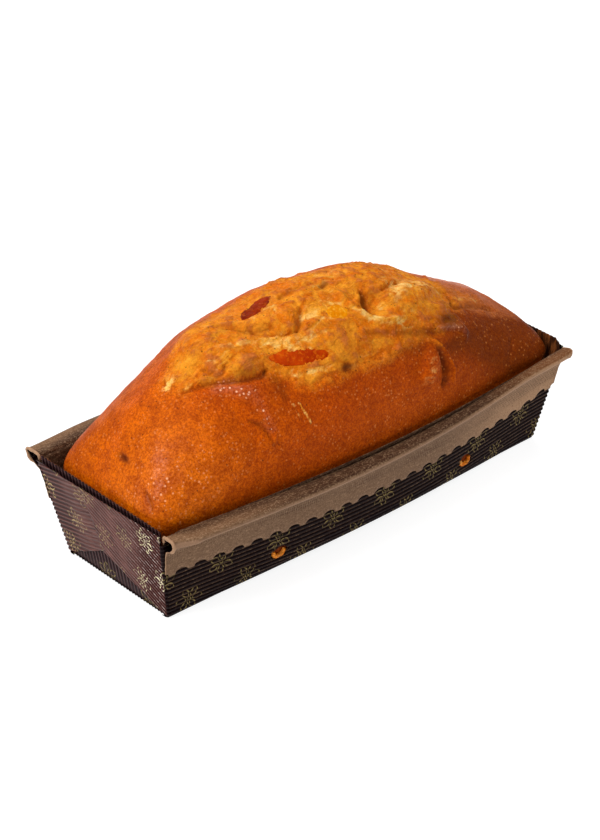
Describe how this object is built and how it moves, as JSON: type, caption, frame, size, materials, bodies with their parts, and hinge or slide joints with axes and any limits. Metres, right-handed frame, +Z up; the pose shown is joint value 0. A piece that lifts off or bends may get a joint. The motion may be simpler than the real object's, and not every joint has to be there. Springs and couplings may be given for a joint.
{
  "type": "sweet bread loaf in a paper mould",
  "caption": "Long domed sweet bread loaf with fruit pieces in its cracked golden top, standing in a fluted dark paper loaf mould with rolled kraft rims.",
  "frame": {"origin": "middle of the paper mould's underside, on the surface it stands on", "axes": "+X along the loaf toward its darker end, -Y toward the long side with the smooth belly, +Z up"},
  "size_m": [0.2472, 0.1162, 0.1107],
  "materials": {
    "crust": "satin",
    "paper": "satin",
    "apricot": "satin",
    "apricot_dark": "satin",
    "peach": "satin"
  },
  "bodies": {
    "root": {"loaf": "crust", "paper_case": "paper", "apricot_piece_front": "apricot", "apricot_piece_back": "apricot_dark", "peach_piece": "peach"}
  },
  "joints": []
}
